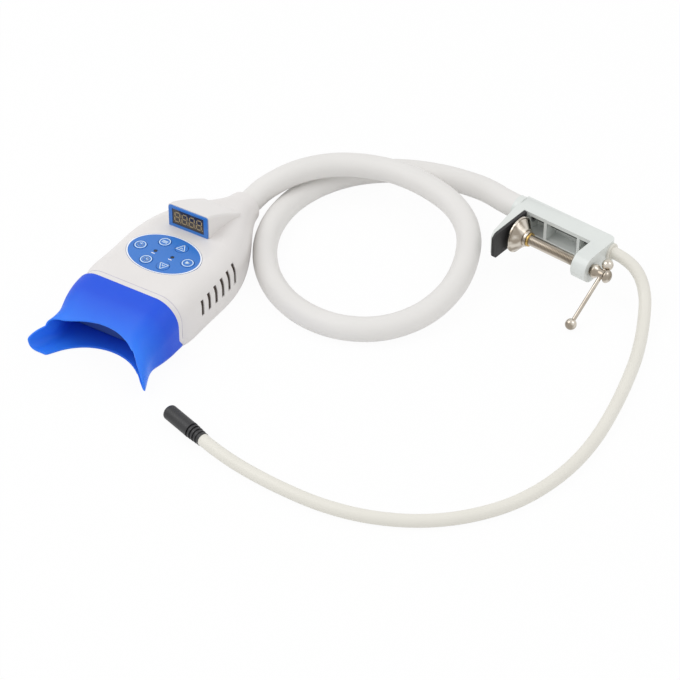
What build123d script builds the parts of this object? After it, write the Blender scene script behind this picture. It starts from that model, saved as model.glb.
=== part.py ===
from build123d import *
import math
import os

# Teeth whitening lamp: desk clamp, looped gooseneck arm, lamp head with mouth shield, power cable.
# Frame: origin where the clamp screw's axis meets the rubber jaw pad, +X along the screw, +Z up.
# The lamp lies on a table, with the screw axis level. Millimetres.

# Driving sizes of the whole object
AXIS_HEIGHT = 27.5            # clamp screw axis above the table
TABLE = -AXIS_HEIGHT
FIT = 0.05                    # radial running clearance of a shaft in its bore
GAP = 0.3                     # clearance about soft or loose pieces

# Clamp casting
JAW_OPENING = 56.0            # from the rubber face to the boss arm
CLAMP_WIDTH = 21.0            # the casting's width, along Z
REACH_IN = 14.8               # screw axis to the inside of the back
REACH_OUT = 24.6              # screw axis to the rubber pad's tip
JAW_REACH = 22.4              # screw axis to the casting's jaw tip
BOSS_REACH = 9.4              # screw axis to the end of the boss arm
BACK_DEPTH = 15.2             # back, from inside to outside
BACK_WALL = 3.0               # wall of the channel in the back
BOSS_THICK = 12.0
PAD_THICK = 2.6
JAW_ROOT = 7.4                # jaw plate's thickness at its root
JAW_TIP = 1.8                 # and at its tip
JAW_CHAMFER = 3.0
BACK_CORNER = 5.0             # rounded outer corner by the cable exit
CHANNEL_START = 1.0
RIB_THICK = 2.4
RIB_AT = (15.0, 44.0)         # ribs across the channel

# Clamp screw, cup and tommy bar
SCREW_D = 8.0
CUP_D = 27.4
CUP_GAP = 3.0                 # cup face to rubber face as it lies
CUP_RIM = 1.8                 # thickness of the cup's lip
CUP_LIP = 1.2                 # how far the lip stands out of the cone
CUP_SHOULDER = 1.0            # step between the cone and the hub
CUP_DEPTH = 10.0
HUB_D = 12.0
HUB_LEN = 2.4
NECK_D = 6.2                  # screw's neck in the cup
BUTTON_D = 8.6                # screw's swaged end inside the cup
BUTTON_AT = 3.4               # from the cup's face
BUTTON_LEN = 4.2
COLLAR_D = 10.4
COLLAR_LEN = 1.6
HEAD_D = 10.4
HEAD_LEN = 14.6
FLANGE_LEN = 2.4              # screw head's flange
WAIST_D = 7.0                 # screw head's waist, which the bar passes through
WAIST_LEN = 4.4
KNOB_D = 9.8                  # rounded end of the screw head
HEAD_GAP = 1.5                # screw head to the boss arm's outer face
BAR_D = 3.0
BAR_SPAN = 50.0               # between the two ball centres
BALL_D = 8.4
BALL_CLEAR = 0.1              # upper ball to the waist that it rests on
BAR_DROP = 33.3               # bar's slope below level, degrees

# Gooseneck arm
SLEEVE_D = 18.0
CORE_D = 11.0
ROOT_Y = 23.5                 # arm's root and cable exit on the casting
ROOT_Z = 2.0
ROOT_BOSS_D = 19.0
ROOT_BOSS_LEN = 4.5
FERRULE_D = 10.0
FERRULE_BORE = 6.4
LEAD_D = 5.0
SET_SCREW_D = 4.0
GROMMET_D = 10.4
FLANGE_D = 13.0
FLANGE_THICK = 1.6

# Arm's route above the table, from the clamp to the head
ARM_ROUTE = [
    (-45.0, 30.5, 25.5),
    (-67.0, 36.0, 19.0),
    (-97.0, 37.0, 12.5),
    (-127.0, 26.5, 9.3),
    (-150.0, 4.0, 9.0),
    (-162.5, -26.0, 9.1),
    (-164.5, -58.0, 9.0),
    (-155.5, -90.0, 9.1),
    (-138.0, -117.0, 9.0),
    (-112.0, -139.0, 9.1),
    (-80.0, -151.0, 9.0),
    (-46.0, -149.0, 9.1),
    (-18.0, -131.0, 9.6),
    (-3.5, -102.0, 11.5),
    (-2.5, -70.0, 14.5),
    (-12.0, -40.0, 18.0),
    (-29.0, -14.0, 22.0),
    (-53.0, 0.5, 25.8),
    (-81.0, 4.5, 28.0),
    (-109.0, 3.0, 28.8),
    (-134.0, -6.5, 29.0),
    (-154.0, -22.0, 29.2),
    (-168.5, -45.0, 28.6),
    (-178.6, -67.5, 22.0),
]
ARM_EXIT = 11.0               # straight length out of the casting
BASE_RUNS = 2                 # whole runs in the stretch that flexes by the clamp
NECK_TIP = 9.0                # straight length out of the head

# Power cable, from the casting to its connector, above the table
CABLE_D = 9.0
CABLE_ROUTE = [
    (94.5, 21.8, 23.6),
    (106.0, 13.6, 14.0),
    (116.0, -2.2, 7.0),
    (126.0, -20.5, 4.6),
    (137.0, -44.0, 4.5),
    (151.5, -85.0, 4.6),
    (162.5, -127.0, 4.5),
    (165.5, -167.0, 4.6),
    (159.0, -206.0, 4.5),
    (142.5, -238.0, 4.6),
    (120.5, -262.0, 4.5),
    (92.5, -280.0, 4.6),
    (62.0, -290.5, 4.5),
    (31.0, -294.8, 4.6),
    (-1.0, -296.2, 4.7),
    (-26.5, -294.9, 5.6),
]
CABLE_EXIT = 11.0             # straight length out of the casting
CABLE_END = (-40.3, -292.3, 5.6)
START_RUNS = 4                # whole runs in the stretch that the turning bar pushes aside

# Connector
PLUG_D = 11.0
PLUG_LEN = 24.0
RELIEF_LEN = 14.0
RELIEF_D = 8.8
RELIEF_RINGS = 5
RING_THICK = 1.7
JACK_BORE = 5.6
JACK_WALL = 0.5
JACK_PIN = 2.0
JACK_DEPTH = 9.5

# Lamp head, in its own frame: X to its right, Y from front to neck, Z up from the table
HEAD_X = -166.0
HEAD_Y = -190.8
HEAD_YAW = 7.5
HEAD_HALF = 42.0              # half the housing's width at its front
HEAD_TALL = 40.0
TOP_R = 18.0
BASE_R = 4.5
WALL = 2.2
TRIM = 0.15                   # trimmed off the lofted base and top to make them flat
SEAM_Y = -39.5                # shells' front edge
RIM_Y = -45.0                 # where the mouth shield starts
NOSE_Y = -58.0                # front of the bezel
NECK_Y = 101.0                # end of the housing
NECK_Z = 16.8                 # neck's axis above the table
NECK_R = 12.6
SPLIT_Z = 4.0                 # height of the seam between the shells
SPLIT_Y = 60.0                # back edge of the lower shell
COLLAR_RING = 2.0             # how far the neck collar stands out of the housing
SPIGOT_LEN = 7.0
NUT_ACROSS = 14.0
NUT_THICK = 3.0

# Display hood
HOOD_Y = 31.5
HOOD_W = 34.4
HOOD_TALL = 18.3
HOOD_END_Y = 73.5
HOOD_R = 2.0
HOOD_WALL = 2.0
FRAME_THICK = 1.2
FRAME_EDGE = 0.7              # the hood's rim shows this much round the frame
WINDOW_W = 27.0
WINDOW_H = 13.4
MODULE_W = 27.6
MODULE_H = 12.8
MODULE_THICK = 6.0

# Key panel and control board
PANEL_A = 29.0                # half axes of the oval
PANEL_B = 21.2
PANEL_THICK = 0.8
KEY_D = 9.4
KEY_PROUD = 0.3
KEY_THICK = 1.6
STEM_D = 3.4
KEY_TRAVEL = 0.35
KEY_SIDE = 20.2
KEY_MID = 7.2
KEY_ROW = 11.7
LAMP_D = 2.4
BOARD_Z = 30.4
BOARD_THICK = 1.6
BOARD_HALF = 27.0
BOARD_FRONT = -17.0
BOARD_BACK = 46.0
SWITCH_SIZE = 6.0
SWITCH_TALL = 3.4

# Light, cooling and vents
LIGHT_Z = 20.0                # middle of the lens, light and fan above the table
LENS_W = 58.0
LENS_H = 20.0
LENS_THICK = 2.0
LENS_REST = 1.5               # how far the lens lies on its rebate
LED_COLS = 6
LED_ROWS = 2
LED_SIZE = 3.5
LED_THICK = 1.4
LIGHT_Y = -46.0               # front of the light board
LIGHT_W = 60.0
LIGHT_H = 24.0
SINK_BASE = 3.0
SINK_DEPTH = 13.0
FIN_COUNT = 12
FIN_THICK = 1.2
FAN_Y = -26.0
FAN_SIZE = 30.0
FAN_THICK = 8.0
FAN_BLADES = 7
FAN_HUB = 12.0
RAIL_Z = 6.0
VENT_W = 3.2
VENT_PITCH = 8.3
VENT_COUNT = 6
VENT_LOW = 14.6
VENT_TALL = 13.0
VENT_FIRST = -16.5
VENT_RISE = 0.8               # each vent is this much taller than the one before
SHELL_SCREWS = [(-32.0, -27.0), (32.0, -27.0), (-23.0, 50.2), (23.0, 50.2)]
BOARD_SCREWS = [(-23.5, -13.0), (23.5, -13.0), (-23.5, 27.0), (23.5, 27.0)]
SCREW_SHANK = 3.0
SCREW_CAP = 5.6
BOSS_D = 7.0

# Mouth shield
SHIELD_WALL = 2.4
SHIELD_LOW = 0.4              # clear of the table
TAB_Z = 9.6                   # rise of the tabs' sloping ends
TAB_LOW = 1.4                 # height of their back corners
LIP_TOP_Y = -77.0             # middle of the upper lip edge
LIP_TOP_R = 45.0
LIP_BASE_Y = -67.8            # middle of the lower lip edge
LIP_BASE_R = 40.0
LIP_SIDE = 4.5                # the mouth edge lies this far to one side
WING_Y = -97.0                # front ends of the wings
WING_R = 10.0                 # their rounding, seen from above
WING_LOW = 4.0                # height at which the wings' fronts start to slope back
SLOPE_Y = -75.0               # where the slope ends
SLOPE_TOP = 33.0
LIP_TALL = 30.0               # height between the two lip edges

# Worked out from the sizes above
HALF_W = CLAMP_WIDTH / 2
BACK_OUT = REACH_IN + BACK_DEPTH
BOSS_OUT = JAW_OPENING + BOSS_THICK
JAW_BACK = -PAD_THICK - JAW_ROOT
ROOT_X = JAW_BACK - ROOT_BOSS_LEN
HUB_X = CUP_GAP + CUP_DEPTH
BUTTON_X = CUP_GAP + BUTTON_AT
SCREW_HEAD_X = BOSS_OUT + HEAD_GAP
BAR_X = SCREW_HEAD_X + HEAD_LEN / 2
BALL_SEAT = WAIST_D / 2 + BALL_CLEAR + BALL_D / 2
CABLE_X = BOSS_OUT + FLANGE_THICK
BOARD_TOP = BOARD_Z + BOARD_THICK
SHELL_TOP = HEAD_TALL - WALL
NECK_OUT = NECK_Y + COLLAR_RING


def save(shape, name):
    export_step(shape, f"parts/{name}.step")


def block(x0, x1, y0, y1, z0, z1):
    return Pos((x0 + x1) / 2, (y0 + y1) / 2, (z0 + z1) / 2) * Box(x1 - x0, y1 - y0, z1 - z0)


def along_x(radius, x0, x1, y=0.0, z=0.0):
    return Pos((x0 + x1) / 2, y, z) * Rot(0, 90, 0) * Cylinder(radius, x1 - x0)


def along_y(radius, y0, y1, x=0.0, z=0.0):
    return Pos(x, (y0 + y1) / 2, z) * Rot(90, 0, 0) * Cylinder(radius, y1 - y0)


def upright(radius, z0, z1, x, y):
    return Pos(x, y, (z0 + z1) / 2) * Cylinder(radius, z1 - z0)


def head(shape):
    return Location((HEAD_X, HEAD_Y, TABLE), (0, 0, HEAD_YAW)) * shape


def head_point(x, y, z):
    return tuple(head(Vertex(x, y, z)).center())


def group(solids):
    return Compound(children=[solid for shape in solids for solid in shape.solids()])


# Clamp casting and what is fixed in it
def jaw_tip_cuts(reach):
    side = JAW_CHAMFER * math.sqrt(2)
    cuts = Pos(-PAD_THICK, -reach, HALF_W) * Rot(45, 0, 0) * Box(20, side, side)
    cuts += Pos(-PAD_THICK, -reach, -HALF_W) * Rot(45, 0, 0) * Box(20, side, side)
    return cuts


def clamp_frame():
    profile = Polyline(
        (-PAD_THICK - JAW_TIP, -JAW_REACH),
        (-PAD_THICK, -JAW_REACH),
        (-PAD_THICK, REACH_IN),
        (JAW_OPENING, REACH_IN),
        (JAW_OPENING, -BOSS_REACH),
        (BOSS_OUT, -BOSS_REACH),
        (BOSS_OUT, BACK_OUT),
        (JAW_BACK, BACK_OUT),
        (JAW_BACK, REACH_IN),
        close=True,
    )
    body = Pos(0, 0, -HALF_W) * extrude(make_face(profile), amount=CLAMP_WIDTH)
    upright_edges = body.edges().filter_by(Axis.Z)
    corner = [e for e in upright_edges if e.center().X > BOSS_OUT - 1 and e.center().Y > BACK_OUT - 1]
    body = fillet(corner, BACK_CORNER)
    level_edges = body.edges().filter_by(Axis.X)
    arm_end = [e for e in level_edges if e.center().X > JAW_OPENING and e.center().Y < 0]
    body = fillet(arm_end, HALF_W - 0.2)
    body -= jaw_tip_cuts(JAW_REACH)
    body += along_x(ROOT_BOSS_D / 2, ROOT_X, JAW_BACK + 0.5, ROOT_Y, ROOT_Z)
    wall = HALF_W - BACK_WALL
    channel = block(CHANNEL_START, JAW_OPENING - 1, REACH_IN - 1, BACK_OUT - BACK_WALL, -wall, wall)
    for at in RIB_AT:
        channel -= block(at, at + RIB_THICK, 0, BACK_OUT, -HALF_W, HALF_W)
    body -= channel
    body -= along_x(FERRULE_D / 2, ROOT_X - 1, CHANNEL_START + 1, ROOT_Y, ROOT_Z)
    body -= along_x(LEAD_D / 2 + GAP, 0, JAW_OPENING, ROOT_Y, ROOT_Z)
    body -= along_x(GROMMET_D / 2, JAW_OPENING - 2, BOSS_OUT + 1, ROOT_Y, ROOT_Z)
    body -= along_x(SCREW_D / 2 + FIT, JAW_OPENING - 1, BOSS_OUT + 1)
    body -= upright(SET_SCREW_D / 2, -HALF_W - 1, ROOT_Z, JAW_BACK / 2, ROOT_Y)
    return body


def jaw_pad():
    pad = block(-PAD_THICK, 0, -REACH_OUT, REACH_IN - GAP, -HALF_W, HALF_W)
    return pad - jaw_tip_cuts(REACH_OUT)


def base_ferrule():
    tube_solid = along_x(FERRULE_D / 2, ROOT_X, CHANNEL_START, ROOT_Y, ROOT_Z)
    return tube_solid - along_x(FERRULE_BORE / 2, ROOT_X - 1, CHANNEL_START + 1, ROOT_Y, ROOT_Z)


def set_screw():
    low = -HALF_W + 0.8
    body = upright(SET_SCREW_D / 2, low, ROOT_Z, JAW_BACK / 2, ROOT_Y)
    body -= along_x(FERRULE_D / 2, JAW_BACK, 0, ROOT_Y, ROOT_Z)
    socket = Pos(JAW_BACK / 2, ROOT_Y, low) * extrude(RegularPolygon(1.0, 6, major_radius=False), amount=1.5)
    return body - socket


def clamp_lead():
    return along_x(LEAD_D / 2, ROOT_X, JAW_OPENING - 2, ROOT_Y, ROOT_Z)


def cable_grommet():
    body = along_x(GROMMET_D / 2, JAW_OPENING - 2, BOSS_OUT, ROOT_Y, ROOT_Z)
    flange = along_x(FLANGE_D / 2, BOSS_OUT, CABLE_X, ROOT_Y, ROOT_Z)
    rim = flange.edges().sort_by(Axis.X)[-1]
    return body + fillet(rim, 0.6)


# Clamp screw, its cup and its bar
def pad_cup():
    rim = CUP_D / 2
    cone = rim - CUP_LIP
    hub = HUB_D / 2
    lip = CUP_GAP + CUP_RIM
    hub_start = HUB_X - HUB_LEN
    outline = Polyline(
        (CUP_GAP, 0),
        (CUP_GAP, rim - 0.5),
        (CUP_GAP + 0.5, rim),
        (lip - 0.4, rim),
        (lip, rim - 0.4),
        (lip, cone),
        (lip + 0.6, cone - 0.3),
        (hub_start, hub + CUP_SHOULDER),
        (hub_start, hub),
        (HUB_X - 0.4, hub),
        (HUB_X, hub - 0.4),
        (HUB_X, 0),
        close=True,
    )
    cup = revolve(make_face(outline), Axis.X)
    cup -= along_x(BUTTON_D / 2 + FIT, BUTTON_X - 0.1, BUTTON_X + BUTTON_LEN + 0.1)
    cup -= along_x(NECK_D / 2 + FIT, BUTTON_X, HUB_X + 1)
    return cup


def bar_frame(offset):
    # A frame whose Z runs down the tommy bar, offset from the screw's axis.
    slope = math.radians(BAR_DROP)
    down = Vector(0, -math.cos(slope), -math.sin(slope))
    return Plane(origin=Vector(BAR_X, 0, 0) + down * offset, x_dir=(1, 0, 0), z_dir=down)


def rod(radius, start, length):
    return extrude(bar_frame(start) * Circle(radius), amount=length)


def screw_head():
    # Flange, waist and rounded end, turned in one profile.
    end = SCREW_HEAD_X + HEAD_LEN
    knob = KNOB_D / 2
    waist = WAIST_D / 2
    flange = HEAD_D / 2
    outline = [
        Line((SCREW_HEAD_X, 0), (SCREW_HEAD_X, flange - 0.6)),
        Line((SCREW_HEAD_X, flange - 0.6), (SCREW_HEAD_X + 0.6, flange)),
        Line((SCREW_HEAD_X + 0.6, flange), (SCREW_HEAD_X + FLANGE_LEN, flange)),
        Line((SCREW_HEAD_X + FLANGE_LEN, flange), (BAR_X - WAIST_LEN / 2, waist)),
        Line((BAR_X - WAIST_LEN / 2, waist), (BAR_X + WAIST_LEN / 2, waist)),
        Line((BAR_X + WAIST_LEN / 2, waist), (end - knob / 2 - 1, knob)),
        ThreePointArc((end - knob / 2 - 1, knob), (end - knob * 0.2, knob * 0.74), (end, knob * 0.3)),
        Line((end, knob * 0.3), (end, 0)),
        Line((end, 0), (SCREW_HEAD_X, 0)),
    ]
    return revolve(make_face(outline), Axis.X)


def clamp_screw():
    body = along_x(BUTTON_D / 2, BUTTON_X, BUTTON_X + BUTTON_LEN)
    body += along_x(NECK_D / 2, BUTTON_X, HUB_X + COLLAR_LEN + 0.5)
    body += along_x(SCREW_D / 2, HUB_X + COLLAR_LEN + 0.1, SCREW_HEAD_X + 1)
    body += screw_head()
    return body - rod(BAR_D / 2 + FIT, -HEAD_D, 2 * HEAD_D)


def screw_collar():
    ring = along_x(COLLAR_D / 2, HUB_X + 0.1, HUB_X + 0.1 + COLLAR_LEN)
    ring = fillet(ring.edges().filter_by(GeomType.CIRCLE), 0.5)
    return ring - along_x(NECK_D / 2, HUB_X - 1, HUB_X + COLLAR_LEN + 2)


def handle_bar():
    return rod(BAR_D / 2, -BALL_SEAT, BAR_SPAN)


def handle_balls():
    balls = []
    for offset in (-BALL_SEAT, BAR_SPAN - BALL_SEAT):
        centre = bar_frame(offset).origin
        balls.append(Pos(*centre) * Sphere(BALL_D / 2) - handle_bar())
    return group(balls)


# Tubes: straight runs joined by arcs as large as the runs allow
def bend_radii(points):
    radii = []
    for before, here, after in zip(points, points[1:], points[2:]):
        first = Vector(*here) - Vector(*before)
        second = Vector(*after) - Vector(*here)
        turn = math.radians(first.get_angle(second))
        radii.append(0.45 * min(first.length, second.length) / math.tan(turn / 2))
    return radii


def middle(a, b):
    return tuple((p + q) / 2 for p, q in zip(a, b))


def stretch(points, first, last):
    # Points and radii of the route between the middles of two runs; None keeps the route's own end.
    radii = bend_radii(points)
    inner_first = 1 if first is None else first + 1
    inner_last = len(points) - 2 if last is None else last
    start = points[0] if first is None else middle(points[first], points[first + 1])
    end = points[-1] if last is None else middle(points[last], points[last + 1])
    corners = points[inner_first:inner_last + 1]
    return [start] + corners + [end], radii[inner_first - 1:inner_last]


def tube(points, radii, diameter, name=None):
    path = FilletPolyline(*points, radius=radii)
    heading = (Vector(*points[1]) - Vector(*points[0])).normalized()
    profile = Plane(origin=points[0], z_dir=heading) * Circle(diameter / 2)
    solid = sweep(profile, path=path)
    if name:
        share = solid.volume / (math.pi * diameter ** 2 / 4 * path.length)
        print(name, "length", round(path.length, 1), "smallest radius", round(min(radii), 1), "volume", round(share, 4))
    return solid


def lifted(points):
    return [(x, y, z + TABLE) for x, y, z in points]


def arm_points():
    corner = (ROOT_X - ARM_EXIT, ROOT_Y, ROOT_Z)
    tip = head_point(0, NECK_OUT + NECK_TIP, NECK_Z)
    end = head_point(0, NECK_OUT, NECK_Z)
    return [(ROOT_X, ROOT_Y, ROOT_Z), corner] + lifted(ARM_ROUTE) + [tip, end]


def cable_points():
    start = (CABLE_X, ROOT_Y, ROOT_Z)
    corner = (CABLE_X + CABLE_EXIT, ROOT_Y, ROOT_Z)
    return [start, corner] + lifted(CABLE_ROUTE + [CABLE_END])


def arm_pieces():
    points = arm_points()
    runs = len(points) - 1
    long_part = stretch(points, BASE_RUNS, runs - 4)
    sleeve = tube(*long_part, SLEEVE_D, "arm_sleeve") - tube(*long_part, CORE_D + 2 * GAP)
    pieces = {
        "base_flex": tube(*stretch(points, None, BASE_RUNS), SLEEVE_D, "base_flex"),
        "arm_sleeve": sleeve,
        "arm_core": tube(*long_part, CORE_D),
        "pan_flex": tube(*stretch(points, runs - 4, runs - 3), SLEEVE_D, "pan_flex"),
        "neck_link": tube(*stretch(points, runs - 3, runs - 2), SLEEVE_D, "neck_link"),
        "tilt_flex": tube(*stretch(points, runs - 2, None), SLEEVE_D, "tilt_flex"),
    }
    print("arm radii", [round(r, 1) for r in bend_radii(points)])
    return pieces


def cable_pieces():
    points = cable_points()
    print("cable radii", [round(r, 1) for r in bend_radii(points)])
    return {
        "cable_start": tube(*stretch(points, None, START_RUNS), CABLE_D, "cable_start"),
        "power_cable": tube(*stretch(points, START_RUNS, None), CABLE_D, "power_cable"),
    }


# Connector, drawn along X from the cable's end
def plug_place(shape):
    before = CABLE_ROUTE[-1]
    x, y, z = CABLE_END
    heading = math.degrees(math.atan2(y - before[1], x - before[0]))
    return Location((x, y, z + TABLE), (0, 0, heading)) * shape


def plug_strain_relief():
    body = along_x(RELIEF_D / 2, 0, RELIEF_LEN)
    pitch = (RELIEF_LEN - RING_THICK) / (RELIEF_RINGS - 1)
    for i in range(RELIEF_RINGS):
        radius = CABLE_D / 2 + 0.3 + i * (PLUG_D - CABLE_D) / 2 / RELIEF_RINGS
        body += along_x(radius, i * pitch, i * pitch + RING_THICK)
    return plug_place(body)


def plug_body():
    tip = RELIEF_LEN + PLUG_LEN
    body = along_x(PLUG_D / 2, RELIEF_LEN, tip)
    body = fillet(body.edges().filter_by(GeomType.CIRCLE).sort_by(Axis.X)[-1], 2.0)
    body -= along_x(JACK_BORE / 2 + JACK_WALL, tip - JACK_DEPTH, tip + 1)
    return plug_place(body)


def plug_sleeve():
    tip = RELIEF_LEN + PLUG_LEN
    liner = along_x(JACK_BORE / 2 + JACK_WALL, tip - JACK_DEPTH, tip - 0.3)
    return plug_place(liner - along_x(JACK_BORE / 2, tip - JACK_DEPTH + 0.6, tip + 1))


def plug_pin():
    tip = RELIEF_LEN + PLUG_LEN
    pin = along_x(JACK_PIN / 2, tip - JACK_DEPTH + 0.6, tip - 1.5)
    return plug_place(fillet(pin.edges().filter_by(GeomType.CIRCLE).group_by(SortBy.DISTANCE)[0], 0.3))


# Lamp head: a housing lofted through rounded sections
def section(y, half, low, high, top_r, base_r):
    # An upright rounded rectangle across the head, with its own top and base corner radii.
    top_x = half - top_r
    top_z = high - top_r
    base_x = half - base_r
    base_z = low + base_r
    edges = [
        Line((-base_x, low), (base_x, low)),
        CenterArc((base_x, base_z), base_r, 270, 90),
        Line((half, base_z), (half, top_z)),
        CenterArc((top_x, top_z), top_r, 0, 90),
        Line((top_x, high), (-top_x, high)),
        CenterArc((-top_x, top_z), top_r, 90, 90),
        Line((-half, top_z), (-half, base_z)),
        CenterArc((-base_x, base_z), base_r, 180, 90),
    ]
    return Plane(origin=(0, y, 0), x_dir=(1, 0, 0), z_dir=(0, -1, 0)) * make_face(edges)


def skin(rows, inset):
    faces = []
    for y, half, low, high, top_r, base_r in rows:
        faces.append(section(y, half - inset, low + inset, high - inset, top_r - inset, base_r - inset * 0.8))
    return loft(faces)


# Each row: place, half width, base height, top height, top radius, base radius
HOUSING = [
    (SEAM_Y, HEAD_HALF, -TRIM, HEAD_TALL + TRIM, TOP_R, BASE_R),
    (-15.0, HEAD_HALF + 1.8, -TRIM, HEAD_TALL + TRIM, TOP_R, BASE_R),
    (12.0, HEAD_HALF + 2.0, -TRIM, HEAD_TALL + TRIM, TOP_R, BASE_R + 0.5),
    (36.0, HEAD_HALF - 1.0, -TRIM, HEAD_TALL + TRIM, TOP_R, 6.0),
    (56.0, HEAD_HALF - 8.0, 0.4, HEAD_TALL - 1.2, TOP_R - 0.5, 8.0),
    (74.0, HEAD_HALF - 17.4, 1.6, HEAD_TALL - 4.8, TOP_R - 2.8, 10.0),
    (90.0, HEAD_HALF - 26.0, 3.2, HEAD_TALL - 9.2, 13.0, 11.4),
    (NECK_Y, NECK_R, NECK_Z - NECK_R, NECK_Z + NECK_R, NECK_R - 0.6, NECK_R - 0.6),
]
SHIELD = [
    (RIM_Y, 43.1, SHIELD_LOW, 41.1, 18.6, 5.5),
    (-53.5, 43.1, SHIELD_LOW, 40.0, 18.6, 5.5),
    (-62.0, 42.4, SHIELD_LOW, 37.3, 17.8, 5.5),
    (-72.0, 40.7, SHIELD_LOW, 32.2, 16.0, 5.5),
    (-81.0, 42.4, SHIELD_LOW, 27.6, 14.6, 5.5),
    (-90.0, 46.8, SHIELD_LOW, 21.0, 12.0, 5.5),
    (-99.0, 51.4, SHIELD_LOW, 15.6, 8.2, 5.0),
]
NOSE = [
    (SEAM_Y, HEAD_HALF - 1.9, 3.3, HEAD_TALL - 1.9, TOP_R - 1.9, 4.0),
    (RIM_Y, HEAD_HALF - 1.9, 3.3, HEAD_TALL - 1.9, TOP_R - 1.9, 4.0),
    (NOSE_Y, HEAD_HALF - 2.7, 3.5, HEAD_TALL - 5.8, TOP_R - 2.7, 4.0),
]


def hood(inset, front):
    # Wedge over the display: upright front, top curving down towards the neck.
    half = HOOD_W / 2 - inset
    top = HEAD_TALL + HOOD_TALL - inset
    low = SHELL_TOP - 4
    end = HOOD_END_Y - 3 * inset
    end_z = HEAD_TALL - 3.8 - inset
    arc_mid = ((HOOD_Y + end) / 2, (top + end_z) / 2 + 1.6)
    side = [
        Line((front, low), (front, top)),
        Line((front, top), (HOOD_Y + 5, top - 1.2)),
        ThreePointArc((HOOD_Y + 5, top - 1.2), arc_mid, (end, end_z)),
        Line((end, end_z), (end - 12, low)),
        Line((end - 12, low), (front, low)),
    ]
    plane = Plane(origin=(-half, 0, 0), x_dir=(0, 1, 0), z_dir=(1, 0, 0))
    return extrude(plane * make_face(side), amount=2 * half)


def outer_hood():
    body = hood(0, HOOD_Y)
    sides = [f for f in body.faces() if abs(f.center().X) > HOOD_W / 2 - 0.1]
    edges = [e for f in sides for e in f.edges() if e.center().Z > HEAD_TALL + 1 and e.center().Y > HOOD_Y + 1]
    return fillet(edges, HOOD_R)


def key_places():
    return {
        "key_power": (-KEY_SIDE, 0.0),
        "key_start": (KEY_SIDE, 0.0),
        "key_mode": (-KEY_MID, KEY_ROW),
        "key_timer": (-KEY_MID, -KEY_ROW),
        "key_up": (KEY_MID, KEY_ROW),
        "key_down": (KEY_MID, -KEY_ROW),
    }


def lamp_places():
    return [(-KEY_MID, 0.0), (KEY_MID, 0.0)]


def top_holes():
    holes = []
    for x, y in key_places().values():
        holes.append(upright(KEY_D / 2 + GAP, SHELL_TOP - 1, HEAD_TALL + 1, x, y))
    for x, y in lamp_places():
        holes.append(upright(LAMP_D / 2 + GAP, SHELL_TOP - 1, HEAD_TALL + 1, x, y))
    return holes


def vent_cuts():
    cuts = []
    for side in (-1, 1):
        for i in range(VENT_COUNT):
            y = VENT_FIRST + i * VENT_PITCH
            tall = VENT_TALL + i * VENT_RISE
            x0, x1 = sorted((side * 30.0, side * 60.0))
            cuts.append(block(x0, x1, y - VENT_W / 2, y + VENT_W / 2, VENT_LOW, VENT_LOW + tall))
    return cuts


def panel_plate(extra, z0, z1):
    return Pos(0, 0, z0) * extrude(Ellipse(PANEL_A + extra, PANEL_B + extra), amount=z1 - z0)


def housing():
    body = skin(HOUSING, 0) & block(-80, 80, SEAM_Y, NECK_Y, 0, HEAD_TALL)
    body += outer_hood()
    body -= skin(HOUSING, WALL)
    body -= hood(HOOD_WALL, HOOD_Y - 1)
    return body


def upper_shell(shell):
    body = shell - block(-80, 80, SEAM_Y - 1, SPLIT_Y, -5, SPLIT_Z)
    body -= panel_plate(GAP, HEAD_TALL - PANEL_THICK, HEAD_TALL + 1)
    for cut in top_holes() + vent_cuts():
        body -= cut
    for x, y in SHELL_SCREWS:
        post = upright(BOSS_D / 2, SPLIT_Z, SHELL_TOP + 1, x, y) & skin(HOUSING, WALL / 2)
        body += post - upright(SCREW_SHANK / 2, SPLIT_Z - 1, SPLIT_Z + 8, x, y)
    for x, y in BOARD_SCREWS:
        post = upright(BOSS_D / 2, BOARD_TOP, SHELL_TOP + 0.5, x, y)
        body += post - upright(SCREW_SHANK / 2, BOARD_TOP - 1, BOARD_TOP + 4, x, y)
    return head(body)


def lower_shell(shell):
    body = shell & block(-80, 80, SEAM_Y - 1, SPLIT_Y, -5, SPLIT_Z)
    for x, y in SHELL_SCREWS:
        body += upright(BOSS_D / 2 + 1, WALL / 2, SPLIT_Z, x, y)
    for x, y in SHELL_SCREWS:
        body -= upright(SCREW_CAP / 2, -1, 1.8, x, y)
        body -= upright(SCREW_SHANK / 2, -1, SPLIT_Z + 1, x, y)
    # rails under the heat sink and the fan
    for x in (-22.0, 22.0):
        body += block(x - 2, x + 2, SEAM_Y + 0.5, -30.0, WALL / 2, RAIL_Z)
    body += block(-16, 16, FAN_Y + 1, FAN_Y + FAN_THICK - 1, WALL / 2, LIGHT_Z - FAN_SIZE / 2)
    return head(body)


def shell_screws():
    screws = []
    for x, y in SHELL_SCREWS:
        screw = upright(SCREW_SHANK / 2, 1.0, SPLIT_Z + 8, x, y) + upright(SCREW_CAP / 2, 0.4, 1.8, x, y)
        screws.append(head(screw))
    return group(screws)


def board_screws():
    screws = []
    for x, y in BOARD_SCREWS:
        screw = upright(SCREW_SHANK / 2, BOARD_Z - 1, BOARD_TOP + 4, x, y)
        screw += upright(SCREW_CAP / 2, BOARD_Z - 1.8, BOARD_Z, x, y)
        screws.append(head(screw))
    return group(screws)


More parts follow.
